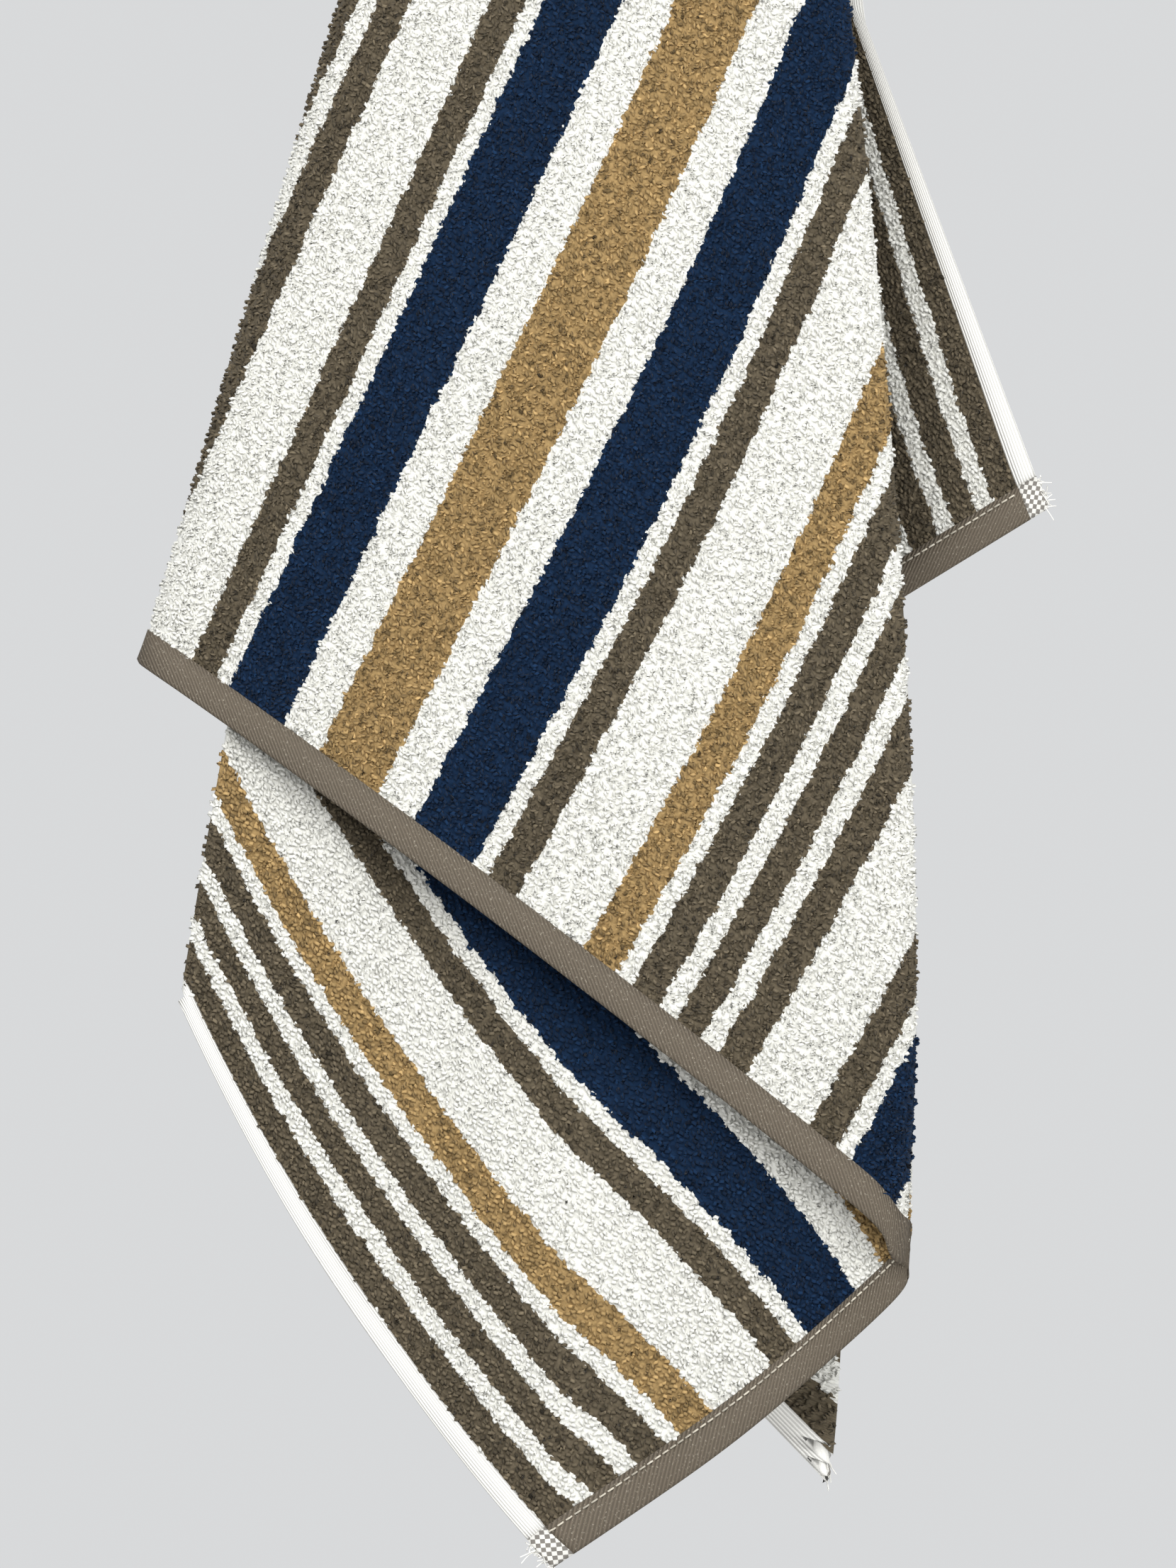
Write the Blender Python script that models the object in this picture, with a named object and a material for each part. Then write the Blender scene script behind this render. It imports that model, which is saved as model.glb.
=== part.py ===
"""A striped terry bath towel hung over a peg, drawn as the folded sheet it is.

The flat cloth is read in two coordinates: across (from the left selvedge) and up (from the
front hem). Every fold line starts at the point that rests on the peg and runs to the towel's
edge. KEYS lists where each line meets the edge of the flat cloth and where that point hangs.
Between two folds the cloth is one layer, and the layers stand behind each other along Y.
Each piece of cloth is a grid of points on that folded sheet, given its thickness.
"""
import bmesh
import bpy
import numpy as np

# Cut size of the towel, and the point of the flat cloth that rests on the peg (metres).
WIDTH, LENGTH = 0.762, 1.372
PEG_ACROSS, PEG_UP = 0.550, 0.600
HEM, SELVEDGE = 0.0115, 0.0070

# Hanging stack: pitch of the layers front to back, and half the thickness of one layer.
PITCH, HALF = 0.0056, 0.0021
FRONT_Y = -0.0350
CUT = 0.0003            # clearance between neighbouring pieces
FOLD_BULGE = 0.0028     # how far a fold turns out past its layers
WRAP_BULGE = 0.0060     # the same for the big fold that wraps the whole stack on the left
CORNER_GAP = 0.0008     # clearance where a hem meets a selvedge
BAND_CLEAR = 0.0018     # clearance between the pile cloth and the band below it

# The gathered cloth over the peg, and the pocket that the peg fills from the wall side.
CROWN_X, CROWN_Y, CROWN_DROP, CROWN_ROUND = 0.024, 0.042, 0.060, 0.010
PEG_X, PEG_TOP, PEG_DROP, PEG_FRONT = 0.007, -0.006, 0.014, -0.026

# Grid: rows down the pile cloth, rows across a band, columns per stretch and per fold.
ROWS, BAND_ROWS, STRETCH_COLUMNS, FOLD_COLUMNS = 13, 2, 4, 5

# name, edge of the flat cloth (across, up), hanging place (x, z), sideways bow (x, z).
# The list runs once round the edge: front hem, left selvedge, rear hem, right selvedge.
KEYS = [
    ("front_right_corner", 0.762, 0.000, 0.125, -0.512, -0.048, -0.010),
    ("front_hem_turn", 0.700, 0.000, 0.072, -0.541, -0.037, -0.006),
    ("left_fold", 0.471, 0.000, -0.169, -0.563, 0.000, 0.000),
    ("right_fold", 0.168, 0.000, 0.079, -0.752, 0.020, 0.000),
    ("front_left_corner", 0.000, 0.000, -0.038, -0.850, -0.003, -0.011),
    ("inner_left_fold", 0.000, 0.211, -0.157, -0.673, 0.008, 0.000),
    ("pleat_1", 0.000, 0.470, 0.058, -0.545, 0.008, 0.000),
    ("pleat_2", 0.000, 0.725, -0.106, -0.500, 0.000, 0.000),
    ("pleat_3", 0.000, 0.980, 0.055, -0.600, 0.008, 0.000),
    ("pleat_4", 0.000, 1.235, -0.128, -0.690, 0.000, 0.000),
    ("rear_left_corner", 0.000, 1.372, -0.055, -0.770, 0.000, 0.000),
    ("pleat_5", 0.230, 1.372, 0.060, -0.690, 0.008, 0.000),
    ("pleat_6", 0.480, 1.372, -0.112, -0.700, 0.000, 0.000),
    ("pleat_7", 0.660, 1.372, 0.070, -0.775, 0.010, 0.000),
    ("rear_right_corner", 0.762, 1.372, 0.049, -0.828, -0.012, -0.006),
    ("trailing_edge", 0.762, 1.180, -0.040, -0.640, 0.000, 0.000),
    ("pleat_8", 0.762, 0.800, -0.050, -0.270, 0.002, 0.000),
    ("pleat_9", 0.762, 0.420, 0.060, -0.225, 0.000, 0.000),
    ("right_edge", 0.762, 0.172, 0.064, -0.352, -0.024, -0.006),
]
# The lines that are folds, front to back. One layer of cloth lies between two of them.
FOLDS = ["left_fold", "right_fold", "inner_left_fold", *[f"pleat_{n}" for n in range(1, 10)]]
CORNERS = ["front_right_corner", "front_left_corner", "rear_left_corner", "rear_right_corner"]
# Distance on the flat cloth from the peg point to the hem or selvedge that follows a corner.
REACH = [PEG_UP, PEG_ACROSS, LENGTH - PEG_UP, WIDTH - PEG_ACROSS]
BANDS = [HEM, SELVEDGE, HEM, SELVEDGE]

NAMES = [key[0] for key in KEYS]
COUNT = len(KEYS)


def side_of(key):
    """Which side of the cloth (0 front, 1 left, 2 rear, 3 right) follows this key."""
    return max(n for n, corner in enumerate(CORNERS) if NAMES.index(corner) <= key % COUNT)


def share_for(side, inset):
    """Share of a fold line that ends this far inside the towel's edge."""
    return 1 - inset / REACH[side]


def hang(key, t):
    """Points (x, z) at shares t of the fold line: a straight line plus a parabolic bow."""
    x, z, bow_x, bow_z = KEYS[key % COUNT][3:]
    bow = 4 * t * (1 - t)
    return np.stack([x * t + bow_x * bow, z * t + bow_z * bow], axis=-1)


def share_at(key, z):
    """Share at which the fold line passes height z: the smaller root of the parabola."""
    end, bow = KEYS[key % COUNT][4], KEYS[key % COUNT][6]
    if bow == 0:
        return z / end
    total = end + 4 * bow
    return (total + np.sqrt(total * total - 16 * bow * z)) / (8 * bow)


def layer_of(key):
    """The layer (0 at the front) that follows this key round the edge."""
    order = [NAMES.index(name) for name in FOLDS]
    behind = [(key - fold) % COUNT for fold in order]
    return behind.index(min(behind))


def layer_y(number):
    return FRONT_Y + number * PITCH


def columns(first, last):
    """The sheet's columns from one key to another: (key, share to the next key, y, inset x).

    A stretch between two keys is straight. A fold is half an ellipse from one layer to the
    next, and its flat layers stop short of it by its bulge."""
    made = []
    for key in range(first, last):
        place = key % COUNT
        y = layer_y(layer_of(place))
        if NAMES[place] in FOLDS:
            made += fold_columns(place)
        else:
            made.append((place, 0.0, y, 0.0))
        here, there = standing_in(place), standing_in((place + 1) % COUNT)
        for s in np.arange(1, STRETCH_COLUMNS) / STRETCH_COLUMNS:
            made.append((place, s, y, here * (1 - s) + there * s))
    return made


def bulge_of(key):
    return WRAP_BULGE if NAMES[key] == "left_fold" else FOLD_BULGE


def standing_in(key):
    """How far the flat layers stop short of a fold line, signed towards the middle."""
    inward = 1 if KEYS[key][3] < 0 else -1
    return inward * bulge_of(key) if NAMES[key] in FOLDS else 0.0


def fold_columns(key):
    """Columns of one fold, from the layer before it to the layer after it."""
    before, after = layer_y(layer_of((key - 1) % COUNT)), layer_y(layer_of(key))
    turn = np.linspace(0, np.pi, FOLD_COLUMNS)
    middle, half = (before + after) / 2, (after - before) / 2
    return [(key, 0.0, middle - half * np.cos(a), standing_in(key) * (1 - np.sin(a))) for a in turn]


def surface(cols, tops, ends, rows):
    """Points of the sheet [row, column, xyz], from share tops to share ends of each line."""
    down = np.linspace(0, 1, rows)[:, None]
    grid = np.empty((rows, len(cols), 3))
    for n, (key, s, y, inset) in enumerate(cols):
        one = hang(key, tops[n][0] + (ends[n] - tops[n][0]) * down[:, 0])
        two = hang(key + 1, tops[n][1] + (ends[n] - tops[n][1]) * down[:, 0])
        place = one + (two - one) * s
        grid[:, n] = np.stack([place[:, 0] + inset, np.full(rows, y), place[:, 1]], axis=-1)
    return grid


def thicken(name, grid, closed):
    """A closed body: the sheet moved half a thickness to either side, with walls between."""
    across = np.roll(grid, -1, 1) - np.roll(grid, 1, 1)
    if not closed:
        across[:, 0], across[:, -1] = grid[:, 1] - grid[:, 0], grid[:, -1] - grid[:, -2]
    down = np.gradient(grid, axis=0)
    normal = np.cross(across, down)
    normal /= np.linalg.norm(normal, axis=-1, keepdims=True)
    sides = np.concatenate([grid + normal * HALF, grid - normal * HALF])
    rows, cols = grid.shape[:2]
    number = np.arange(2 * rows * cols).reshape(2, rows, cols)
    last = cols if closed else cols - 1
    faces = []
    for c in range(last):
        d = (c + 1) % cols
        for r in range(rows - 1):
            a, b = number[0], number[1]
            faces.append((a[r, c], a[r, d], a[r + 1, d], a[r + 1, c]))
            faces.append((b[r, c], b[r + 1, c], b[r + 1, d], b[r, d]))
        for r, turned in ((0, True), (rows - 1, False)):
            wall = (number[0][r, c], number[0][r, d], number[1][r, d], number[1][r, c])
            faces.append(wall[::-1] if turned else wall)
    for c in () if closed else (0, cols - 1):
        for r in range(rows - 1):
            faces.append((number[0][r, c], number[0][r + 1, c],
                          number[1][r + 1, c], number[1][r, c]))
    return solid(name, sides.reshape(-1, 3), faces)


def solid(name, points, faces):
    """An object from points and faces, triangulated and facing out."""
    mesh = bpy.data.meshes.new(name)
    mesh.from_pydata([tuple(p) for p in points], [], [tuple(int(i) for i in f) for f in faces])
    bm = bmesh.new()
    bm.from_mesh(mesh)
    bmesh.ops.triangulate(bm, faces=bm.faces[:])
    bmesh.ops.recalc_face_normals(bm, faces=bm.faces[:])
    bm.to_mesh(mesh)
    bm.free()
    made = bpy.data.objects.new(name, mesh)
    bpy.context.scene.collection.objects.link(made)
    return made


def terry_body():
    """The pile cloth of every layer, folded round once, from below the peg to the bands."""
    start = NAMES.index("left_fold")
    cols = columns(start, start + COUNT)
    top = -CROWN_DROP - 4 * CUT
    tops = [(share_at(key, top), share_at(key + 1, top)) for key, *_ in cols]
    ends = []
    for key, s, *_ in cols:
        sides = {side_of(key), side_of(key - 1) if s == 0 else side_of(key)}
        ends.append(min(share_for(side, BANDS[side] + BAND_CLEAR) for side in sides))
    return thicken("terry_body", surface(cols, tops, ends, ROWS), closed=True)


def band(name, side):
    """A hem or a selvedge: the narrow strip along one side, folded with its layers."""
    first = NAMES.index(CORNERS[side])
    last = NAMES.index(CORNERS[(side + 1) % 4]) + (COUNT if side == 3 else 0)
    cols = columns(first, last)
    end_y = layer_y(layer_of((last - 1) % COUNT))
    cols.append(((last - 1) % COUNT, 1.0, end_y, 0.0))
    gap = CORNER_GAP / 0.1
    cols[0] = (cols[0][0], gap, *cols[0][2:])
    cols[-1] = (cols[-1][0], 1 - gap, *cols[-1][2:])
    inner = share_for(side, BANDS[side])
    grid = surface(cols, [(inner, inner)] * len(cols), [1.0] * len(cols), BAND_ROWS)
    return thicken(name, grid, closed=False)


def terry_crown():
    """The cloth that rests on the peg, rounded over it, open to the wall for the peg."""
    mesh = bpy.data.meshes.new("terry_crown")
    bm = bmesh.new()
    bmesh.ops.create_cube(bm, size=1.0)
    for vertex in bm.verts:
        vertex.co.x *= 2 * CROWN_X
        vertex.co.y *= 2 * CROWN_Y
        vertex.co.z = (vertex.co.z - 0.5) * CROWN_DROP
    ridge = [e for e in bm.edges if min(v.co.z for v in e.verts) > -CROWN_DROP / 2]
    bmesh.ops.bevel(bm, geom=ridge, offset=CROWN_ROUND, segments=5, profile=0.5, affect="EDGES")
    bm.to_mesh(mesh)
    bm.free()
    crown = bpy.data.objects.new("terry_crown", mesh)
    bpy.context.scene.collection.objects.link(crown)
    cut = crown.modifiers.new("peg_pocket", "BOOLEAN")
    cut.object = peg_shape()
    cut.operation = "DIFFERENCE"
    return crown


def peg_shape():
    """The space that the peg takes, as a hidden cutter that runs out past the wall side."""
    low, high = (-PEG_X, PEG_FRONT, PEG_TOP - PEG_DROP), (PEG_X, CROWN_Y + 0.01, PEG_TOP)
    points = [(x, y, z) for x in (low[0], high[0]) for y in (low[1], high[1])
              for z in (low[2], high[2])]
    faces = [(0, 1, 3, 2), (4, 6, 7, 5), (0, 4, 5, 1), (2, 3, 7, 6), (0, 2, 6, 4), (1, 5, 7, 3)]
    cutter = solid("peg_shape", points, faces)
    cutter.hide_render = True
    cutter.display_type = "WIRE"
    return cutter


def material(name, colour, roughness):
    """A plain cotton finish."""
    made = bpy.data.materials.new(name)
    made.use_nodes = True
    shader = made.node_tree.nodes["Principled BSDF"]
    shader.inputs["Base Color"].default_value = (*colour, 1)
    shader.inputs["Roughness"].default_value = roughness
    shader.inputs["Metallic"].default_value = 0.0
    return made


def main():
    for thing in list(bpy.data.objects):
        bpy.data.objects.remove(thing)
    pile = material("striped_terry", (0.80, 0.78, 0.73), 0.95)
    twill = material("taupe_twill", (0.15, 0.13, 0.10), 0.85)
    plain = material("white_selvedge", (0.82, 0.81, 0.77), 0.9)
    terry_crown().data.materials.append(pile)
    terry_body().data.materials.append(pile)
    for side, name in enumerate(["front_hem", "left_selvedge", "rear_hem", "right_selvedge"]):
        band(name, side).data.materials.append(twill if "hem" in name else plain)


main()
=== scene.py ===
# %% [markdown]
# # A striped terry towel over a peg
#
# A towel on a peg is one flat sheet that has been folded many times round one point. This lesson
# keeps two maps of it. The flat map measures in metres across from the left selvedge and up from
# the front hem. The hanging map says where each fold line ends in the room. Everything else, the
# pile, the hems, the loops and the stitches, is placed through these two maps.

import math

import bmesh
import bpy
import numpy as np
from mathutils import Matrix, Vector


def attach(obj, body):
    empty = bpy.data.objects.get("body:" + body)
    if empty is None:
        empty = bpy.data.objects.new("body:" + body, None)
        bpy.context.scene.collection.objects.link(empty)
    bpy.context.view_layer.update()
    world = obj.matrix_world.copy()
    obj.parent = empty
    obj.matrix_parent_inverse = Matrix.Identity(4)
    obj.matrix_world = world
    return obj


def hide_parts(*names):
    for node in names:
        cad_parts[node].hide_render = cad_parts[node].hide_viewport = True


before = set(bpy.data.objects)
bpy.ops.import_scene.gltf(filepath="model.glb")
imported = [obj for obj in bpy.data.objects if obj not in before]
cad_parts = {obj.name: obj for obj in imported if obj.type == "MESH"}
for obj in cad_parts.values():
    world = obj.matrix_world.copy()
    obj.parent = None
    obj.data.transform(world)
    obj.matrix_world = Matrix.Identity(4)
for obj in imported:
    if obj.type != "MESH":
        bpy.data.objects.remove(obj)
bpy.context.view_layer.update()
print("the part's nodes:", sorted(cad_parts))

# %% [markdown]
# ## The flat towel
#
# A bath towel of 762 x 1372 mm. Its pile stripes run the whole length because the coloured yarns
# are laid in the warp. The hem is the end turned over and sewn; the selvedge is the woven edge.

# %% Sizes of the flat towel
WIDTH, LENGTH = 0.762, 1.372
PEG_ACROSS, PEG_UP = 0.550, 0.600
HEM, SELVEDGE = 0.0115, 0.0070
rng = np.random.default_rng(12)

# %% [markdown]
# ## The fold lines
#
# Every fold line starts at the point that rests on the peg and runs to the towel's edge. For each
# one the table gives where it meets the edge of the flat cloth, where that end hangs, how much the
# line bows on its way down, how deep it stands, and how round the fold is. A roundness of zero
# marks a plain point of the edge, such as a corner, where the cloth goes straight on.

# %% The table of fold lines
# name, across, up, x, z, bow x, bow z, roundness
LINES = [
    ("front_right_corner", 0.762, 0.000, 0.1262, -0.5120, -0.071, -0.015, 0),
    ("front_hem_turn", 0.700, 0.000, 0.0740, -0.5440, -0.070, -0.014, 0),
    ("left_fold", 0.471, 0.000, -0.1705, -0.5640, 0.000, 0.000, 0.016),
    ("right_fold", 0.1673, 0.000, 0.0828, -0.7575, 0.020, 0.000, 0.012),
    ("front_left_corner", 0.000, 0.000, -0.0372, -0.8560, -0.003, -0.011, 0),
    ("inner_left_fold", 0.000, 0.211, -0.1574, -0.6734, -0.012, 0.000, 0.006),
    ("pleat_1", 0.000, 0.470, 0.0560, -0.5450, 0.008, 0.000, 0.005),
    ("pleat_2", 0.000, 0.725, -0.1060, -0.5000, 0.000, 0.000, 0.005),
    ("pleat_3", 0.000, 0.980, 0.0500, -0.6000, 0.008, 0.000, 0.005),
    ("pleat_4", 0.000, 1.235, -0.1180, -0.6900, 0.000, 0.000, 0.005),
    ("rear_left_corner", 0.000, 1.372, -0.0550, -0.7600, 0.000, 0.000, 0),
    ("pleat_5", 0.230, 1.372, 0.0520, -0.6900, 0.008, 0.000, 0.005),
    ("pleat_6", 0.480, 1.372, -0.1120, -0.7000, 0.000, 0.000, 0.005),
    ("rear_hem_rise", 0.700, 1.372, 0.0440, -0.7600, 0.000, 0.000, 0),
    ("rear_right_corner", 0.762, 1.372, 0.0505, -0.8200, 0.000, 0.000, 0),
    ("pleat_7", 0.762, 1.3625, 0.0535, -0.8330, 0.024, -0.129, 0.004),
    ("trailing_edge", 0.762, 1.180, -0.0833, -0.6910, -0.030, -0.110, 0),
    ("pleat_8", 0.762, 0.800, -0.0680, -0.2700, 0.000, 0.000, 0.005),
    ("pleat_9", 0.762, 0.420, 0.0500, -0.2250, -0.012, 0.000, 0.005),
    ("right_edge", 0.762, 0.172, 0.0660, -0.3520, -0.041, -0.012, 0),
]
# Depth of each layer of cloth, front to back: one layer lies between two rounded folds.
DEPTHS = [-0.040, -0.026, -0.0185, -0.0130, -0.0075, -0.0020, 0.0035, 0.0090, 0.0195, 0.0145,
          0.0240, 0.0290]

NAMES = [line[0] for line in LINES]
NUMBERS = np.array([line[1:] for line in LINES])
ACROSS, UP, END_X, END_Z, BOW_X, BOW_Z, ROUND = NUMBERS.T
COUNT = len(LINES)
FOLDS = [n for n in range(COUNT) if ROUND[n] > 0]
FLAT_BOW = np.where(np.array(NAMES) == "right_fold", -0.160, 0.0)
layer_after = ((np.arange(COUNT)[:, None] - FOLDS) % COUNT).argmin(axis=1)
DEPTH_AFTER = np.array(DEPTHS)[layer_after]
DEPTH_BEFORE = np.roll(DEPTH_AFTER, 1)
print(COUNT, "fold lines and corners,", len(FOLDS), "layers")

# %% [markdown]
# ## From flat to hanging
#
# Between two neighbouring lines the cloth is a straight blend from one to the other. A place is
# told by three numbers: the line that it follows, its share of the way to the next line, and its
# share of the way down from the peg. At a rounded fold the cloth turns through a quarter circle
# into its own layer, which is what makes the fold look soft.

# %% Amounts of slack, in metres unless they are shares
TAKEN, TAKEN_FROM = 0.068, 0.72                  # cloth taken by the right fold, and from how far down
LEFT_DROP = 0.564                                # drop of the left fold's end
THIN, THIN_WIDTH = 0.36, 0.10                    # depth kept at the left outline, and over what width
SWAY, SKEW = 0.0035, 0.0055                      # drift of the front layer along its hem
HEM_ALONG = (0.795, 0.606)                       # direction of the front hem, as x and drop
HEM_ARCH = 0.0044                                # rise of the front hem between its folds
UNDER_SAG, TAIL_SAG = (0.0040, 0.0044), (0.0080, 0.0036)
BELLY = 0.007                                    # how far the front layer stands out
FRONT_HEM_LENGTH, UNDER_HEM_LENGTH = 0.31, 0.155
CORNER_CUT, CORNER_WIDTH = 0.0085, 0.012         # rounding of the hem at the right fold
CROWN_ROUND, CROWN_HEIGHT = 0.012, 0.16


# %% The hanging map
def ease(x):
    """Smooth step from 0 to 1: 3x^2 - 2x^3, held at the ends."""
    x = np.clip(x, 0, 1)
    return x * x * (3 - 2 * x)


def hang(line, down):
    """Point of a fold line: its end times the share, plus a parabolic bow 4t(1 - t)."""
    bow = 4 * down * (1 - down)
    return END_X[line] * down + BOW_X[line] * bow, END_Z[line] * down + BOW_Z[line] * bow


def turned(depth, middle, distance, radius):
    """Depth near a fold: a quarter circle of that radius from the fold's middle to the layer."""
    left = 1 - np.clip(distance / np.maximum(radius, 1e-6), 0, 1)
    return middle + (depth - middle) * np.sqrt(1 - left**2)


def taken_up(share, down):
    """Share across once the round right fold has taken its arc of cloth, low down.

    The loss rises as 1 - exp(-share) beside the fold and fades as 1 - share^4 at the corner.
    """
    loss = TAKEN * ease((down - TAKEN_FROM) / 0.28) * (1 - np.exp(-share / 0.06))
    return share - loss * (1 - share**4)


def on_cloth(line, share, down):
    """Points (n, 3) of the hanging cloth for whole arrays of places."""
    line, share, down = np.broadcast_arrays(line, share, down)
    after = (line + 1) % COUNT
    x0, z0 = hang(line, down)
    x1, z1 = hang(after, down)
    hung = np.where(line == NAMES.index("right_fold"), taken_up(share, down), share)
    x, z = x0 + (x1 - x0) * hung, z0 + (z1 - z0) * hung
    span = np.hypot(x1 - x0, z1 - z0) + 1e-6
    y = DEPTH_AFTER[line]
    here = (DEPTH_BEFORE[line] + DEPTH_AFTER[line]) / 2
    there = (DEPTH_AFTER[line] + DEPTH_AFTER[after]) / 2
    near = np.minimum(ROUND[line], 0.35 * span)
    far = np.minimum(ROUND[after], 0.35 * span)
    y = turned(y, here, share * span, near)
    y = np.where(ROUND[after] > 0, turned(y, there, (1 - share) * span, far), y)
    x, y, z = relaxed(line, share, down, x, y, z)
    return over_peg(x, thinned(x, y, z), z)


def thinned(x, y, z):
    """Depth closed up towards the left outline, so that the bundle is a lens and not a box."""
    height = -z / LEFT_DROP
    outline = END_X[NAMES.index("left_fold")] * np.clip(height, 0.02, 1)
    keep = THIN + (1 - THIN) * ease((x - outline) / (THIN_WIDTH * np.clip(height, 0.25, 1)))
    return DEPTHS[0] + (y - DEPTHS[0]) * keep


def relaxed(line, share, down, x, y, z):
    """Adds the slack of the layers in view: a belly, slow waves and a hem that sags between folds."""
    front = line == NAMES.index("left_fold")
    under = line == NAMES.index("right_fold")
    tail = line == NAMES.index("front_left_corner")
    arch = 4 * share * (1 - share)
    low = ease(down)
    drift = -(SWAY * np.sin(2 * np.pi * share) + SKEW * 6.75 * share**2 * (1 - share)) * low
    x = x + np.where(front, HEM_ALONG[0] * drift, 0)
    z = z + np.where(front, -HEM_ALONG[1] * drift + HEM_ARCH * arch * down**3, 0)
    x = x + (np.where(under, UNDER_SAG[0], 0) - np.where(tail, TAIL_SAG[0], 0)) * arch * down**3
    z = z - (np.where(under, UNDER_SAG[1], 0) + np.where(tail, TAIL_SAG[1], 0)) * arch * down**3
    waves = 0.0022 * np.sin(9.0 * share + 5.0 * down) + 0.0016 * np.sin(17.0 * share - 9.0 * down)
    y = y - np.where(front, (BELLY * arch + waves * np.sqrt(arch)) * low, 0)
    curl = 0.003 * np.sin(11 * share + 4 * down) * np.sqrt(arch) * low
    y = y + np.where(under | tail, 0.002 * arch * low + curl, 0)
    beside = np.where(under, UNDER_HEM_LENGTH * share, 1.0)
    to_fold = np.where(front, FRONT_HEM_LENGTH * (1 - share), beside) * down
    x = x - CORNER_CUT * np.exp(-(to_fold / CORNER_WIDTH)**2) * down**14
    return x, y, z


def over_peg(x, y, z):
    """Rounds the top over the peg: near it the cloth closes in and levels off."""
    fall = np.abs(z)
    level = 1 - np.exp(-fall / CROWN_ROUND)
    y = y * (0.35 + 0.65 * ease(fall / CROWN_HEIGHT)) * level
    widen = 1 + 0.9 * np.exp(-fall / 0.03)
    z = -fall * level - 0.0005
    return np.stack([x * widen, y, z], axis=-1)


def flat_place(line, share, down):
    """Flat coordinates (n, 2) in metres of the same places."""
    line, share, down = np.broadcast_arrays(line, share, down)
    after = (line + 1) % COUNT
    bow = down * (1 - down)**2
    a0 = PEG_ACROSS + (ACROSS[line] - PEG_ACROSS) * down + FLAT_BOW[line] * bow
    a1 = PEG_ACROSS + (ACROSS[after] - PEG_ACROSS) * down + FLAT_BOW[after] * bow
    v0 = PEG_UP + (UP[line] - PEG_UP) * down
    v1 = PEG_UP + (UP[after] - PEG_UP) * down
    return np.stack([a0 + (a1 - a0) * share, v0 + (v1 - v0) * share], axis=-1)


print("the left fold ends at", np.round(on_cloth(NAMES.index("left_fold"), 0.0, 1.0), 3))

# %% [markdown]
# ## Finding a place from its flat coordinates
#
# Loops and stitches are laid out on the flat towel, in rows, as the loom makes them. The share of
# the way down is the largest of four ratios, one for each side of the towel, because on each side
# a constant share runs parallel to that edge. The line is then found from where the ray from the
# peg point meets the edge.


# %% The inverse map
CORNERS = [NAMES.index(n) for n in
           ("front_right_corner", "front_left_corner", "rear_left_corner", "rear_right_corner")]


def find_place(across, up):
    """(line, share, down) for whole arrays of flat coordinates."""
    ratios = np.stack([(PEG_UP - up) / PEG_UP, (PEG_ACROSS - across) / PEG_ACROSS,
                       (up - PEG_UP) / (LENGTH - PEG_UP), (across - PEG_ACROSS) / (WIDTH - PEG_ACROSS)])
    side, down = ratios.argmax(0), np.clip(ratios.max(0), 1e-4, 1)
    line = np.zeros(across.shape, int)
    share = np.zeros(across.shape)
    for n in range(COUNT):
        of_side = sum(n >= c for c in CORNERS) - 1
        after = (n + 1) % COUNT
        ends = flat_place(n, 0.0, down), flat_place(n, 1.0, down)
        axis = 0 if of_side in (0, 2) else 1
        value = across if axis == 0 else up
        gap = ends[1][..., axis] - ends[0][..., axis]
        s = (value - ends[0][..., axis]) / np.where(np.abs(gap) < 1e-9, 1e-9, gap)
        inside = (side == of_side) & (s >= -1e-6) & (s <= 1 + 1e-6)
        line, share = np.where(inside, n, line), np.where(inside, np.clip(s, 0, 1), share)
    return line, share, down


def at_flat(across, up):
    """Hanging points of flat coordinates."""
    return on_cloth(*find_place(np.asarray(across, float), np.asarray(up, float)))


def facing(across, up):
    """Unit normals of the cloth's outer side (the obverse), from small steps on the flat towel."""
    step = 0.0008
    a = at_flat(across + step, up) - at_flat(across - step, up)
    b = at_flat(across, up + step) - at_flat(across, up - step)
    n = np.cross(a, b)
    return -n / np.maximum(np.linalg.norm(n, axis=-1, keepdims=True), 1e-12)


print("a corner found again:", np.round(at_flat(np.array([0.0]), np.array([0.0])), 3))

# %% [markdown]
# ## Making a mesh from a grid
#
# A grid of points becomes a mesh in one go. The flat coordinates go with it as a UV map in metres,
# so that every stripe is drawn where the loom wove it, whatever the folds do.


# %% Mesh helpers
def mesh_piece(name, points, faces, uv, material, body="root"):
    """A mesh object from arrays: points (n, 3), faces (m, 3 or 4) and one UV per point."""
    mesh = bpy.data.meshes.new(name)
    sides = faces.shape[1]
    mesh.vertices.add(len(points))
    mesh.vertices.foreach_set("co", np.asarray(points, np.float32).ravel())
    mesh.loops.add(faces.size)
    mesh.loops.foreach_set("vertex_index", faces.ravel().astype(np.int32))
    mesh.polygons.add(len(faces))
    mesh.polygons.foreach_set("loop_start", np.arange(0, faces.size, sides, dtype=np.int32))
    mesh.polygons.foreach_set("loop_total", np.full(len(faces), sides, np.int32))
    mesh.polygons.foreach_set("use_smooth", np.ones(len(faces), bool))
    layer = mesh.uv_layers.new(name="flat_metres")
    layer.data.foreach_set("uv", np.asarray(uv, np.float32)[faces.ravel()].ravel())
    mesh.update(calc_edges=True)
    mesh.validate()
    thing = bpy.data.objects.new(name, mesh)
    bpy.context.scene.collection.objects.link(thing)
    mesh.materials.append(material)
    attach(thing, body)
    return thing


def grid_faces(rows, cols, closed=False):
    """Quads of a grid with its points numbered row by row."""
    number = np.arange(rows * cols).reshape(rows, cols)
    right = np.roll(number, -1, 1) if closed else number[:, 1:]
    left = number if closed else number[:, :-1]
    return np.stack([left[:-1], left[1:], right[1:], right[:-1]], -1).reshape(-1, 4)


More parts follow.
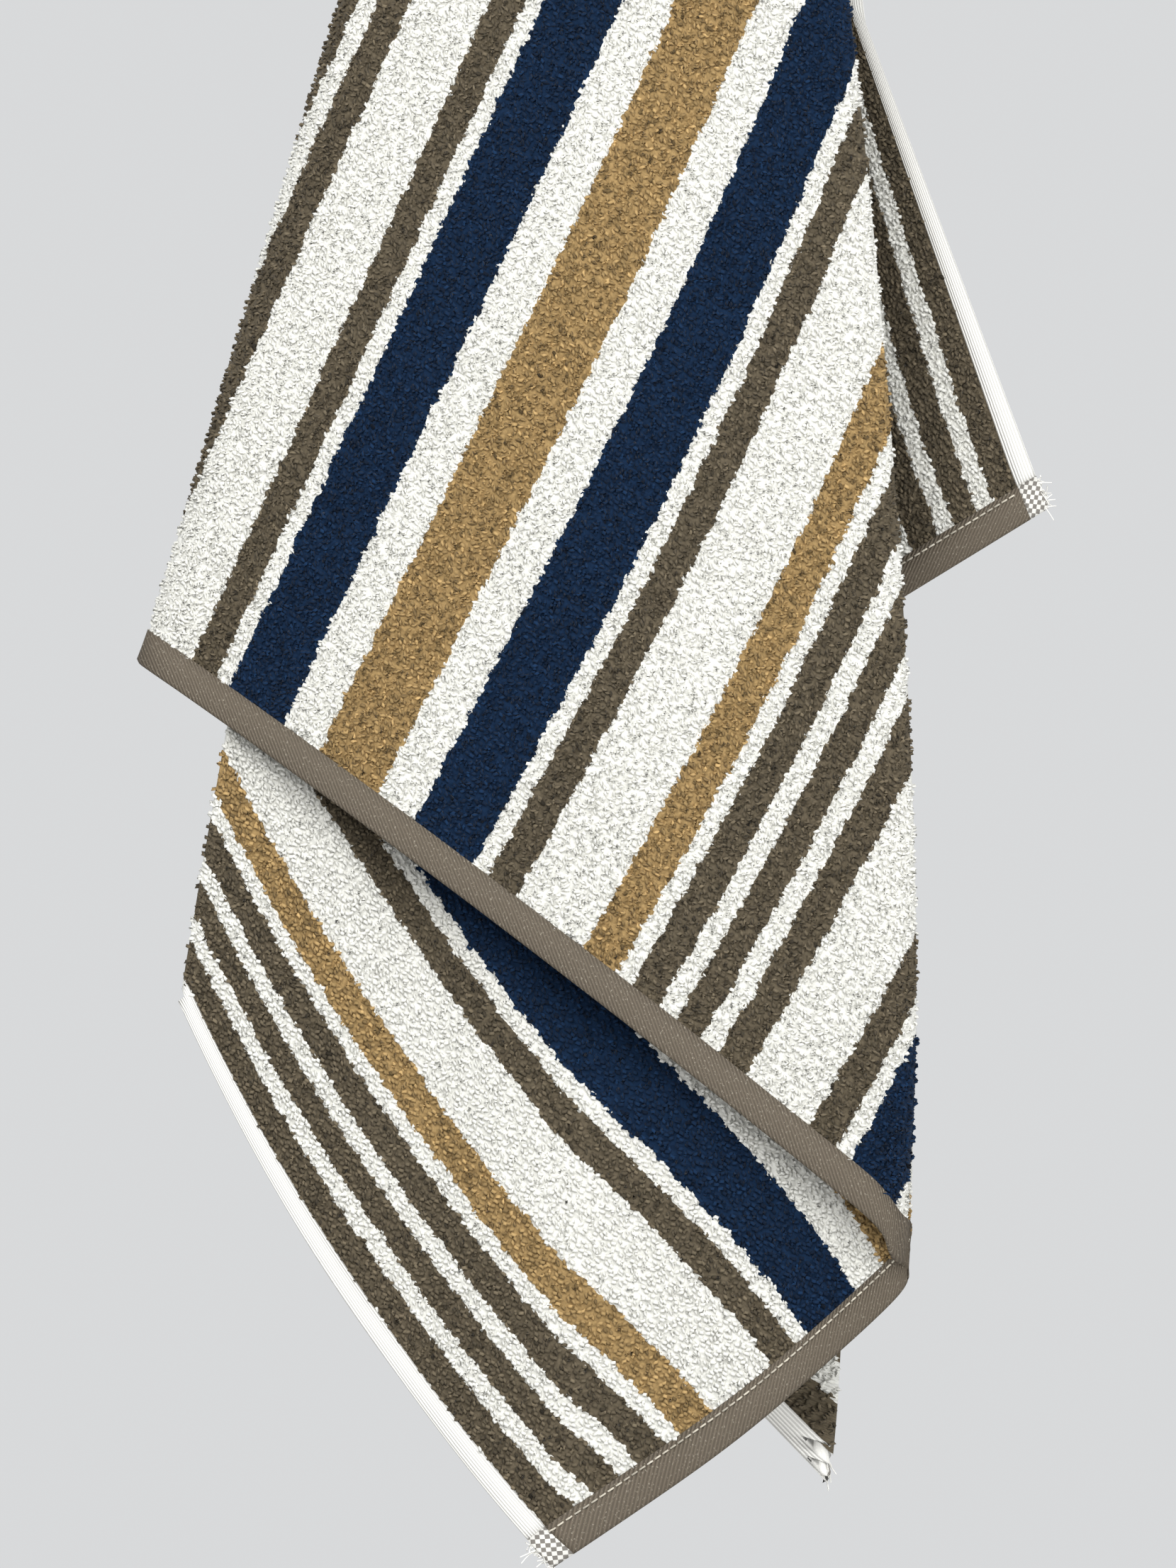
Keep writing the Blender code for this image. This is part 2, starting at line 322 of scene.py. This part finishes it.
# %% [markdown]
# ## The stripes
#
# The repeat of the warp is 235.5 mm and comes three times across the towel, with five more narrow
# stripes to close it. One colour ramp with hard steps holds the repeat. A wobble of the edge, made
# with fine noise, gives the ragged line where loops of two colours lean into each other.

# %% Stripe colours and widths
WHITE = (0.735, 0.73, 0.685)
TAUPE = (0.106, 0.086, 0.057)
NAVY = (0.0038, 0.0165, 0.0455)
TAN = (0.315, 0.212, 0.092)
REPEAT = [(9.8, TAUPE), (6, WHITE), (9.8, TAUPE), (6, WHITE), (9.8, TAUPE), (6, WHITE),
          (12.2, TAN), (24.5, WHITE), (10.3, TAUPE), (5.6, WHITE), (22.1, NAVY), (14.0, WHITE),
          (22.9, TAN), (14.0, WHITE), (22.1, NAVY), (5.6, WHITE), (10.3, TAUPE), (24.5, WHITE)]
REPEAT_WIDTH = sum(width for width, _ in REPEAT) / 1000
print("one repeat is", round(REPEAT_WIDTH * 1000, 1), "mm")


def sockets(group, inputs, outputs):
    """Makes a group's sockets and gives its input and output nodes."""
    for name, kind, value in inputs:
        made = group.interface.new_socket(name, in_out="INPUT", socket_type=kind)
        if value is not None:
            made.default_value = value
    for name, kind in outputs:
        group.interface.new_socket(name, in_out="OUTPUT", socket_type=kind)
    return group.nodes.new("NodeGroupInput"), group.nodes.new("NodeGroupOutput")


def math_node(tree, operation, a, b=None, c=None):
    """A Math node fed with sockets or constants; gives its output socket."""
    node = tree.nodes.new("ShaderNodeMath")
    node.operation = operation
    for socket, value in zip(node.inputs, (a, b, c)):
        if value is None:
            continue
        if isinstance(value, (int, float)):
            socket.default_value = value
        else:
            tree.links.new(value, socket)
    return node.outputs[0]


def noise(tree, vector, scale, detail=2.0, roughness=0.6):
    """A Noise Texture at the given coordinates."""
    node = tree.nodes.new("ShaderNodeTexNoise")
    node.inputs["Scale"].default_value = scale
    node.inputs["Detail"].default_value = detail
    node.inputs["Roughness"].default_value = roughness
    tree.links.new(vector, node.inputs["Vector"])
    return node


def scaled(tree, vector, factors):
    """Coordinates times one factor for each axis."""
    node = tree.nodes.new("ShaderNodeVectorMath")
    node.operation = "MULTIPLY"
    tree.links.new(vector, node.inputs[0])
    node.inputs[1].default_value = factors
    return node.outputs[0]


def mixed(tree, factor, a, b, blend="MIX"):
    """A colour mix fed with sockets, constants or colours; gives its colour output."""
    node = tree.nodes.new("ShaderNodeMix")
    node.data_type, node.blend_type = "RGBA", blend
    ins = [s for s in node.inputs if s.enabled]
    for socket, value in zip(ins, (factor, a, b)):
        if isinstance(value, (int, float)):
            socket.default_value = value
        elif isinstance(value, tuple):
            socket.default_value = (*value, 1)
        else:
            tree.links.new(value, socket)
    return [s for s in node.outputs if s.enabled][0]


# %% The stripe group
def stripe_group():
    """Colour of the pile at flat coordinates: repeat position to a ramp with hard steps."""
    group = bpy.data.node_groups.new("warp_stripes", "ShaderNodeTree")
    start, end = sockets(group, [("Flat", "NodeSocketVector", None), ("Ragged", "NodeSocketFloat", 1.0)],
                         [("Color", "NodeSocketColor"), ("Light yarn", "NodeSocketFloat")])
    flat = start.outputs["Flat"]
    fine = noise(group, scaled(group, flat, (900, 420, 1)), 1.0, 1.0)
    slow = noise(group, scaled(group, flat, (60, 130, 1)), 1.0, 2.0)
    wobble = math_node(group, "MULTIPLY", math_node(group, "SUBTRACT", fine.outputs[0], 0.5), 0.0035)
    drift = math_node(group, "MULTIPLY", math_node(group, "SUBTRACT", slow.outputs[0], 0.5), 0.0030)
    shift = math_node(group, "ADD", math_node(group, "MULTIPLY", wobble, start.outputs["Ragged"]), drift)
    parts = group.nodes.new("ShaderNodeSeparateXYZ")
    group.links.new(flat, parts.inputs[0])
    across = math_node(group, "ADD", parts.outputs[0], shift)
    place = math_node(group, "DIVIDE", math_node(group, "SUBTRACT", across, SELVEDGE), REPEAT_WIDTH)
    place = math_node(group, "FRACT", place)
    ramp = group.nodes.new("ShaderNodeValToRGB")
    ramp.color_ramp.interpolation = "CONSTANT"
    stops = ramp.color_ramp.elements
    edge = 0.0
    for n, (width, colour) in enumerate(REPEAT):
        stop = stops[0] if n == 0 else stops[1] if n == 1 else stops.new(edge)
        stop.position, stop.color = edge, (*colour, 1)
        edge += width / 1000 / REPEAT_WIDTH
    group.links.new(place, ramp.inputs[0])
    light = group.nodes.new("ShaderNodeSeparateColor")
    group.links.new(ramp.outputs[0], light.inputs[0])
    white = math_node(group, "GREATER_THAN", light.outputs[2], 0.3)
    group.links.new(ramp.outputs[0], end.inputs["Color"])
    group.links.new(white, end.inputs["Light yarn"])
    return group


stripes = stripe_group()

# %% [markdown]
# ## Pile materials
#
# Cotton loops scatter light and are never quite one colour: each loop catches the dye a little
# differently, and the gaps between loops are darker. The ground cloth gets a bump of loop shapes,
# and the loops themselves get a slow change from loop to loop.


# %% Pile materials
def new_material(name):
    """A dull, non-metal material with the flat coordinates at hand."""
    made = bpy.data.materials.new(name)
    made.use_nodes = True
    tree = made.node_tree
    shader = tree.nodes["Principled BSDF"]
    shader.inputs["Metallic"].default_value = 0.0
    shader.inputs["Specular IOR Level"].default_value = 0.15
    uv = tree.nodes.new("ShaderNodeUVMap")
    uv.uv_map = "flat_metres"
    return made, tree, shader, uv.outputs[0]


def use_group(tree, group, **values):
    """An instance of a node group with its inputs set by name."""
    node = tree.nodes.new("ShaderNodeGroup")
    node.node_tree = group
    for name, value in values.items():
        socket = node.inputs[name.replace("_", " ")]
        if isinstance(value, (int, float)):
            socket.default_value = value
        else:
            tree.links.new(value, socket)
    return node


def pile_material(name, ragged, light, dark, loop_bump):
    """Stripe colour times a tone that swings more on the dark yarns than on the white ones."""
    made, tree, shader, flat = new_material(name)
    colour = use_group(tree, stripes, Flat=flat, Ragged=ragged)
    patchy = noise(tree, scaled(tree, flat, (1300, 1100, 1)), 1.0, 2.0, 0.6)
    swing = math_node(tree, "MULTIPLY_ADD", colour.outputs["Light yarn"], light - dark, dark)
    tone = math_node(tree, "MULTIPLY", math_node(tree, "SUBTRACT", patchy.outputs[0], 0.5), swing)
    tone = math_node(tree, "MAXIMUM", math_node(tree, "ADD", tone, 1.0), 0.12)
    grey = tree.nodes.new("ShaderNodeCombineColor")
    for socket in grey.inputs:
        tree.links.new(tone, socket)
    shaded = mixed(tree, 1.0, colour.outputs["Color"], grey.outputs[0], "MULTIPLY")
    tree.links.new(shaded, shader.inputs["Base Color"])
    rough = math_node(tree, "MULTIPLY_ADD", patchy.outputs[0], 0.12, 0.84)
    tree.links.new(rough, shader.inputs["Roughness"])
    shader.inputs["Sheen Weight"].default_value = 0.04
    shader.inputs["Sheen Roughness"].default_value = 0.5
    if loop_bump:
        loops = tree.nodes.new("ShaderNodeTexVoronoi")
        loops.inputs["Scale"].default_value = 1.0
        tree.links.new(scaled(tree, flat, (490, 380, 1)), loops.inputs["Vector"])
        height = math_node(tree, "SUBTRACT", 1.0, loops.outputs["Distance"])
        bump = tree.nodes.new("ShaderNodeBump")
        bump.inputs["Strength"].default_value = 0.9
        bump.inputs["Distance"].default_value = 0.0016
        tree.links.new(height, bump.inputs["Height"])
        tree.links.new(bump.outputs[0], shader.inputs["Normal"])
    return made


ground = pile_material("terry_ground", 1.0, 0.3, 0.8, True)
loop_yarn = pile_material("terry_loops", 0.15, 0.12, 3.4, False)
print("made", ground.name, "and", loop_yarn.name)

# %% [markdown]
# ## Twill, selvedge and thread
#
# The hem is a dense twill: fine diagonal ribs with pale flecks where the white warp shows through.
# The selvedge is a plain white weave. Where they cross, the two weaves mix into a small check.


# %% Woven finishes
def woven_material(name, colour, fleck, fleck_share, rib, slope, rough):
    """Diagonal ribs from a sine of the flat coordinates, with flecks where fine noise is high."""
    made, tree, shader, flat = new_material(name)
    wave = tree.nodes.new("ShaderNodeTexWave")
    wave.wave_type, wave.bands_direction = "BANDS", "X"
    wave.inputs["Scale"].default_value = 0.3142
    wave.inputs["Distortion"].default_value = 0.4
    wave.inputs["Detail"].default_value = 1.0
    turn = tree.nodes.new("ShaderNodeVectorRotate")
    turn.rotation_type = "Z_AXIS"
    turn.inputs["Angle"].default_value = slope
    tree.links.new(flat, turn.inputs["Vector"])
    tree.links.new(scaled(tree, turn.outputs[0], (1 / rib, 1 / rib, 1)), wave.inputs["Vector"])
    specks = noise(tree, scaled(tree, flat, (1500, 1100, 1)), 1.0, 2.0, 0.7)
    mask = math_node(tree, "GREATER_THAN", specks.outputs[0], fleck_share)
    ribs = math_node(tree, "MULTIPLY_ADD", wave.outputs["Fac"], 0.40, 0.72)
    grey = tree.nodes.new("ShaderNodeCombineColor")
    for socket in grey.inputs:
        tree.links.new(ribs, socket)
    base = mixed(tree, 1.0, colour, grey.outputs[0], "MULTIPLY")
    both = mixed(tree, math_node(tree, "MULTIPLY", mask, 0.5), base, fleck)
    tree.links.new(both, shader.inputs["Base Color"])
    tree.links.new(math_node(tree, "MULTIPLY_ADD", specks.outputs[0], 0.15, rough),
                   shader.inputs["Roughness"])
    bump = tree.nodes.new("ShaderNodeBump")
    bump.inputs["Strength"].default_value = 0.6
    bump.inputs["Distance"].default_value = 0.0004
    tree.links.new(wave.outputs["Fac"], bump.inputs["Height"])
    tree.links.new(bump.outputs[0], shader.inputs["Normal"])
    return made


twill = woven_material("hem_twill", (0.128, 0.106, 0.080), (0.40, 0.36, 0.29), 0.63, 0.0011, 0.9, 0.72)
plain = woven_material("selvedge_weave", (0.80, 0.79, 0.75), (0.60, 0.58, 0.53), 0.66, 0.0009, 0.0, 0.75)
thread = woven_material("sewing_thread", (0.50, 0.46, 0.38), (0.62, 0.58, 0.50), 0.60, 0.0006, 0.5, 0.65)



def check_material(name, light, dark, square):
    """A basket check: squares of two tones that stand a little proud of each other."""
    made, tree, shader, flat = new_material(name)
    turn = tree.nodes.new("ShaderNodeVectorRotate")
    turn.rotation_type = "Z_AXIS"
    turn.inputs["Angle"].default_value = 0.6
    tree.links.new(flat, turn.inputs["Vector"])
    squares = tree.nodes.new("ShaderNodeTexChecker")
    squares.inputs["Scale"].default_value = 1.0
    squares.inputs["Color1"].default_value = (*light, 1)
    squares.inputs["Color2"].default_value = (*dark, 1)
    tree.links.new(scaled(tree, turn.outputs[0], (1 / square, 1 / square, 1)), squares.inputs["Vector"])
    tree.links.new(squares.outputs["Color"], shader.inputs["Base Color"])
    shader.inputs["Roughness"].default_value = 0.75
    bump = tree.nodes.new("ShaderNodeBump")
    bump.inputs["Strength"].default_value = 0.7
    bump.inputs["Distance"].default_value = 0.0005
    tree.links.new(squares.outputs["Fac"], bump.inputs["Height"])
    tree.links.new(bump.outputs[0], shader.inputs["Normal"])
    return made


check = check_material("corner_check", (0.66, 0.65, 0.61), (0.185, 0.172, 0.155), 0.0014)

# %% [markdown]
# ## The ground cloth
#
# The whole towel is one grid: around the edge in one direction, and from the peg to the edge in the
# other. Columns crowd together next to the folds, where the cloth turns fast.


# %% Columns and rows of the sheet
def column_places():
    """(line, share) of every column: shares (1 - cos(pi u)) / 2 on a stretch between two lines."""
    lines, shares = [], []
    for n in range(COUNT):
        width = math.hypot(ACROSS[(n + 1) % COUNT] - ACROSS[n], UP[(n + 1) % COUNT] - UP[n])
        steps = int(10 + width / 0.008)
        u = np.arange(steps) / steps
        lines.append(np.full(steps, n))
        shares.append((1 - np.cos(np.pi * u)) / 2)
    return np.concatenate(lines), np.concatenate(shares)


col_line, col_share = column_places()
rows = 134
REACH = [PEG_UP, PEG_ACROSS, LENGTH - PEG_UP, WIDTH - PEG_ACROSS]
INSET = [HEM, SELVEDGE, HEM, SELVEDGE]
col_side = sum((col_line >= c).astype(int) for c in CORNERS) - 1
at_corner = (col_share == 0) & np.isin(col_line, CORNERS)
pile_end = 1 - (np.array(INSET) / np.array(REACH))[col_side]
before_side = (col_side - 1) % 4
corner_end = 1 - (np.array(INSET) / np.array(REACH))[before_side]
pile_end = np.where(at_corner, np.minimum(pile_end, corner_end), pile_end)
down = np.linspace(0, 1, rows)[:, None] ** 0.85 * (pile_end[None, :] + 0.003)
down = np.maximum(down, 0.002)
points = on_cloth(col_line[None, :], col_share[None, :], down)
flat = flat_place(col_line[None, :], col_share[None, :], down)
points, flat = (np.concatenate([grid, grid[:, :1]], axis=1) for grid in (points, flat))
towel = mesh_piece("towel_ground_cloth", points.reshape(-1, 3),
                   grid_faces(rows, points.shape[1]), flat.reshape(-1, 2), ground)
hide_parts("terry_body", "terry_crown")
print("ground cloth:", len(towel.data.polygons), "faces, area",
      round(sum(p.area for p in towel.data.polygons), 3), "m2")


# %% [markdown]
# ## Hems and selvedges
#
# Each band follows one edge of the towel. Its section is a flat loop: it starts on the obverse at
# the pile, rounds the edge and comes back on the reverse, so the band is a closed strip with a
# thickness, proud of the ground cloth by about a millimetre.


# %% Bands along the edge
def edge_track(side, first, last, steps):
    """Flat coordinates along one side from share first to share last of its length."""
    u = np.linspace(first, last, steps)
    if side in (0, 2):
        across = WIDTH * (1 - u) if side == 0 else WIDTH * u
        return across, np.full(steps, 0.0 if side == 0 else LENGTH)
    up = LENGTH * u if side == 1 else LENGTH * (1 - u)
    return np.full(steps, 0.0 if side == 1 else WIDTH), up


def band(name, side, depth, thick, first, last, steps, material):
    """A closed strip: its section goes out on the obverse, round the edge and back on the reverse."""
    section = [(0.0, -0.5), (0.5, -0.52), (0.9, -0.5), (1.0, -0.2), (1.0, 0.2), (0.9, 0.5),
               (0.5, 0.52), (0.0, 0.5)]
    along_a, along_v = edge_track(side, first, last, steps)
    inward = [(0, 1), (1, 0), (0, -1), (-1, 0)][side]
    ring, uv = [], []
    for out, lift in section:
        inset = depth * (1 - out) + 0.0002
        a, v = along_a + inward[0] * inset, along_v + inward[1] * inset
        a, v = np.clip(a, 0.0001, WIDTH - 0.0001), np.clip(v, 0.0001, LENGTH - 0.0001)
        ring.append(at_flat(a, v) + facing(a, v) * (-lift * thick))
        uv.append(np.stack([a, v], -1))
    ring, uv = np.stack(ring), np.stack(uv)
    around = np.concatenate([ring, ring[:1]])
    faces = grid_faces(len(section) + 1, steps)
    made = mesh_piece(name, around.reshape(-1, 3), faces,
                      np.concatenate([uv, uv[:1]]).reshape(-1, 2), material)
    closed_ends(made, len(section))
    return made


def closed_ends(thing, sides):
    """Merges the seam of the section, fills the two ends and turns every face outwards."""
    bm = bmesh.new()
    bm.from_mesh(thing.data)
    bmesh.ops.remove_doubles(bm, verts=bm.verts[:], dist=1e-6)
    bmesh.ops.holes_fill(bm, edges=[e for e in bm.edges if e.is_boundary], sides=sides + 2)
    bmesh.ops.recalc_face_normals(bm, faces=bm.faces[:])
    bm.to_mesh(thing.data)
    bm.free()


for name, side, depth, thick, material in (
        ("front_hem_band", 0, HEM, 0.0026, twill), ("left_selvedge_band", 1, SELVEDGE, 0.0016, plain),
        ("rear_hem_band", 2, HEM, 0.0026, twill), ("right_selvedge_band", 3, SELVEDGE, 0.0016, plain)):
    length = WIDTH if side in (0, 2) else LENGTH
    trim = (SELVEDGE if side in (0, 2) else HEM) / length
    strip = band(name, side, depth, thick, trim, 1 - trim, 420, material)
    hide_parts(name.replace("_band", ""))
    print(name, len(strip.data.polygons), "faces")

# %% [markdown]
# ## Corner tabs
#
# At each corner the hem and the selvedge cross, and the two weaves make a small mottled check.


# %% Corner tabs
for name, side, first, last in (
        ("front_right_tab", 0, 0.0, SELVEDGE / WIDTH), ("front_left_tab", 0, 1 - SELVEDGE / WIDTH, 1.0),
        ("rear_left_tab", 2, 0.0, SELVEDGE / WIDTH), ("rear_right_tab", 2, 1 - SELVEDGE / WIDTH, 1.0)):
    tab = band(name, side, HEM, 0.0026, first, last, 8, check)

# %% [markdown]
# ## Hem stitches
#
# The hem is turned to the reverse and sewn close to its inner edge. Each stitch is a short thread
# lying on the twill, about 2.8 mm from the next.


# %% Stitches
def tubes(name, paths, radius, sides, material, flat_uv):
    """Many short threads at once: paths (n, k, 3) become tubes of k rings with that radius."""
    count, rings = paths.shape[:2]
    along = np.gradient(paths, axis=1)
    along /= np.maximum(np.linalg.norm(along, axis=-1, keepdims=True), 1e-12)
    helper = np.broadcast_to(np.array([0.31, 0.17, 0.93]), along.shape)
    side = np.cross(along, helper)
    side /= np.maximum(np.linalg.norm(side, axis=-1, keepdims=True), 1e-12)
    other = np.cross(along, side)
    angle = np.arange(sides) * 2 * np.pi / sides
    thin = np.asarray(radius)
    ring = (paths[:, :, None] + thin[..., None, None] * (side[:, :, None] * np.cos(angle)[:, None]
            + other[:, :, None] * np.sin(angle)[:, None]))
    block = grid_block(rings, sides)
    faces = (np.arange(count)[:, None, None] * rings * sides + block[None]).reshape(-1, 4)
    uv = np.repeat(flat_uv, rings * sides, axis=0)
    return mesh_piece(name, ring.reshape(-1, 3), faces[:, ::-1], uv, material)


def grid_block(rings, sides):
    """Quads of one tube, its points numbered ring by ring."""
    number = np.arange(rings * sides).reshape(rings, sides)
    right = np.roll(number, -1, 1)
    return np.stack([number[:-1], number[1:], right[1:], right[:-1]], -1).reshape(-1, 4)


def stitches(name, side):
    """One row of stitches along a hem: each thread lifts by a half sine in its middle."""
    pitch, long = 0.00285, 0.0019
    count = int((WIDTH - 2 * SELVEDGE) / pitch)
    start = SELVEDGE + np.arange(count) * pitch
    u = np.linspace(0, 1, 5)
    a = start[:, None] + long * u[None, :]
    v = np.full(a.shape, HEM - 0.0016 if side == 0 else LENGTH - HEM + 0.0016)
    lift = 0.0014 + 0.0004 * np.sin(np.pi * u)[None, :, None]
    path = at_flat(a, v) - facing(a, v) * lift
    radius = np.full(a.shape, 0.00032)
    return tubes(name, path, radius, 5, thread, np.stack([a[:, 0], v[:, 0]], -1))


for name, side in (("front_hem_stitches", 0), ("rear_hem_stitches", 2)):
    sewn = stitches(name, side)
print("stitches sewn")


# %% Frayed corners
FRAY_THREADS, FRAY_ROOT, FRAY_RADIUS = 34, 0.0012, 0.00020


def fray(name, a, v, toward):
    """Short loose threads at a corner: they start at its edge and wander outwards."""
    count = len(a)
    base, inner = at_flat(a, v), at_flat(a + toward, v)
    out = base - inner
    out /= np.maximum(np.linalg.norm(out, axis=-1, keepdims=True), 1e-9)
    u = np.linspace(0, 1, 6)[None, :, None]
    long = rng.uniform(0.0008, 0.0027, count)[:, None, None]
    stray, swirl = rng.normal(0, 0.70, (2, count, 1, 3))
    path = inner[:, None] + (base - inner)[:, None] * u + long * (out[:, None] * u + stray * u**2
                                                                  + swirl * np.sin(4 * u) * u * 0.6)
    return tubes(name, path, np.full((count, 6), FRAY_RADIUS), 4, plain, np.stack([a, v], -1))


for name, edge_a, end_v in (("front_right_fray", WIDTH, 0.0), ("front_left_fray", 0.0, 0.0),
                            ("rear_left_fray", 0.0, LENGTH), ("rear_right_fray", WIDTH, LENGTH)):
    far_v = abs(end_v - rng.uniform(0.0004, HEM - 0.001, FRAY_THREADS))
    far_a = np.full(FRAY_THREADS, abs(edge_a - 0.0004))
    threads = fray(name, far_a, far_v, -FRAY_ROOT if edge_a > 0 else FRAY_ROOT)
print("corners frayed")

# %% [markdown]
# ## The terry loops
#
# The pile stands in rows across the towel, a loop every two millimetres or so. Each loop is a yarn
# that leaves the ground, arches over and goes back. Here a loop is a short tube along a half
# circle that leans at random. Its UV is the flat place of its foot, so each loop has the one
# colour of its own warp yarn, and the stripe's edge comes out as uneven as the loops are.


# %% Loops
LOOP_PITCH, ROW_PITCH, ROW_SHIFT, LOOP_HEIGHT = 0.00155, 0.0019, 0.00078, 0.00125
LOOP_SIDES, LOOP_RINGS, PIECE_LIMIT = 3, 4, 180000
TRIANGLES_PER_LOOP = 2 * LOOP_SIDES * (LOOP_RINGS - 1)


def loop_field(name, across, up, lift_side):
    """Loops at flat places: a half circle along the warp, tilted and turned by a few degrees."""
    count = len(across)
    a = across + rng.normal(0, 0.00028, count)
    v = up + rng.normal(0, 0.00035, count)
    base = at_flat(a, v)
    up_dir = facing(a, v) * lift_side
    step = 0.0008
    warp = at_flat(a, v + step) - at_flat(a, v - step)
    warp /= np.maximum(np.linalg.norm(warp, axis=-1, keepdims=True), 1e-9)
    weft = np.cross(up_dir, warp)
    turn = rng.normal(0, 0.75, count)[:, None]
    along = warp * np.cos(turn) + weft * np.sin(turn)
    sideways = np.cross(up_dir, along)
    lean = sideways * rng.normal(0, 0.28, count)[:, None] + along * rng.normal(0, 0.22, count)[:, None]
    tall = LOOP_HEIGHT * rng.uniform(0.75, 1.2, count)[:, None]
    wide = 0.00062 * rng.uniform(0.8, 1.25, count)[:, None]
    u = np.linspace(0, np.pi, LOOP_RINGS)
    rise = (np.sin(u) ** 0.8)[None, :, None] * tall[:, None]
    path = (base[:, None] - up_dir[:, None] * 0.0002
            - along[:, None] * (np.cos(u)[None, :, None] * wide[:, None] * 1.15)
            + (up_dir + lean)[:, None] * rise)
    radius = np.broadcast_to(np.array([0.00046, 0.00062, 0.00062, 0.00046]), (count, LOOP_RINGS))
    made = tubes(name, path, radius, LOOP_SIDES, loop_yarn, np.stack([a, v], -1))
    return made


def lattice(low_a, high_a, low_v, high_v):
    """Flat places in rows with a loop every pitch, every other row set over by half a pitch."""
    a, v = np.meshgrid(np.arange(low_a, high_a, LOOP_PITCH), np.arange(low_v, high_v, ROW_PITCH))
    a = a + ROW_SHIFT * (np.arange(v.shape[0]) % 2)[:, None]
    return a.ravel(), v.ravel()


def keep_places(a, v, wanted, low_down):
    """Those places that lie between the given lines and below a share of the way down."""
    line, share, down = find_place(a, v)
    pick = np.isin(line, [NAMES.index(n) for n in wanted]) & (down > low_down)
    return a[pick], v[pick]


pile_left, pile_right = SELVEDGE + 0.0006, WIDTH - SELVEDGE - 0.0006
pile_low, pile_high = HEM + 0.0004, LENGTH - HEM - 0.0004
every_a, every_v = lattice(pile_left, pile_right, pile_low, pile_high)
print(len(every_a), "places for loops on one face of the whole towel")


def loop_fields(name, wanted, low_down, lift_side):
    """Loops between the given lines, in pieces that stay under the limit of triangles each."""
    a, v = keep_places(every_a, every_v, wanted, low_down)
    parts = np.array_split(
        np.argsort(a), max(1, math.ceil(len(a) * TRIANGLES_PER_LOOP / PIECE_LIMIT)))
    return [loop_field(f"{name}_{n + 1}", a[i], v[i], lift_side) for n, i in enumerate(parts)]


loop_pieces = loop_fields("front_loops", ["left_fold"], 0.10, 1)
loop_pieces += loop_fields("under_loops", ["right_fold", "front_left_corner"], 0.60, -1)
raised_corner = ["right_edge", "front_right_corner", "front_hem_turn"]
side_a, side_v = keep_places(every_a, every_v, raised_corner, 0.45)
spot = at_flat(side_a, side_v)
seen = spot[:, 0] > 0.030
loop_pieces.append(loop_field("side_loops", side_a[seen], side_v[seen], -1))
tip_a, tip_v = keep_places(every_a, every_v, ["pleat_7"], 0.80)
loop_pieces.append(loop_field("tip_loops", tip_a, tip_v, -1))
loop_pieces += loop_fields("back_loops", raised_corner, 0.10, 1)
print([(p.name, len(p.data.polygons) * 2) for p in loop_pieces])

# %% [markdown]
# ## The cloth and what goes with it
#
# The towel is one sheet, hung. The bands, tabs, stitches and loops go with it.

# %% [markdown]
# ## Room, light and camera
#
# A pale floor well below the towel, a bright soft sky, one large soft light from the upper left
# front and a weaker one from the right, and a long lens that looks straight at the wall.


# %% Floor
FLOOR_HALF, FLOOR_Z = 4.5, -1.4


def floor():
    """A plain pale square with a slow change of tone."""
    mesh = bpy.data.meshes.new("floor")
    corners = [(-1, -1), (1, -1), (1, 1), (-1, 1)]
    mesh.from_pydata([(x * FLOOR_HALF, y * FLOOR_HALF, FLOOR_Z) for x, y in corners], [], [(0, 1, 2, 3)])
    made = bpy.data.objects.new("floor", mesh)
    bpy.context.scene.collection.objects.link(made)
    paint = bpy.data.materials.new("pale_floor")
    paint.use_nodes = True
    tree = paint.node_tree
    shader = tree.nodes["Principled BSDF"]
    place = tree.nodes.new("ShaderNodeTexCoord")
    grain = noise(tree, place.outputs["Object"], 3.0)
    tone = mixed(tree, grain.outputs[0], (0.56, 0.56, 0.555), (0.60, 0.60, 0.595))
    tree.links.new(tone, shader.inputs["Base Color"])
    shader.inputs["Roughness"].default_value = 0.9
    mesh.materials.append(paint)
    return made


floor()


# %% Lights
def soft_light(name, place, aim, size, power):
    """A round area light at a place, turned towards its aim."""
    light = bpy.data.lights.new(name, "AREA")
    light.shape, light.size, light.energy = "DISK", size, power
    made = bpy.data.objects.new(name, light)
    bpy.context.scene.collection.objects.link(made)
    made.location = place
    made.rotation_euler = (Vector(aim) - Vector(place)).to_track_quat("-Z", "Y").to_euler()


soft_light("key", (-0.40, -1.75, 0.25), (0, 0, -0.55), 1.2, 33)
soft_light("fill", (1.4, -1.6, -0.45), (0, 0, -0.6), 1.2, 21)
world = bpy.data.worlds.new("studio")
world.use_nodes = True
world.node_tree.nodes["Background"].inputs[0].default_value = (0.80, 0.81, 0.82, 1)
world.node_tree.nodes["Background"].inputs[1].default_value = 0.86
bpy.context.scene.world = world
bpy.context.scene.view_settings.view_transform = "Standard"

# %% Camera
VIEW_WIDTH, VIEW_X, VIEW_Z, FAR = 0.3768, -0.0258, -0.6032, 2.5
lens = bpy.data.cameras.new("camera")
lens.sensor_fit, lens.sensor_width = "HORIZONTAL", 36
lens.lens = 36 * FAR / VIEW_WIDTH
camera = bpy.data.objects.new("camera", lens)
bpy.context.scene.collection.objects.link(camera)
camera.location = (VIEW_X, -0.045 - FAR, VIEW_Z)
camera.rotation_euler = (math.radians(90), 0, 0)
bpy.context.scene.camera = camera
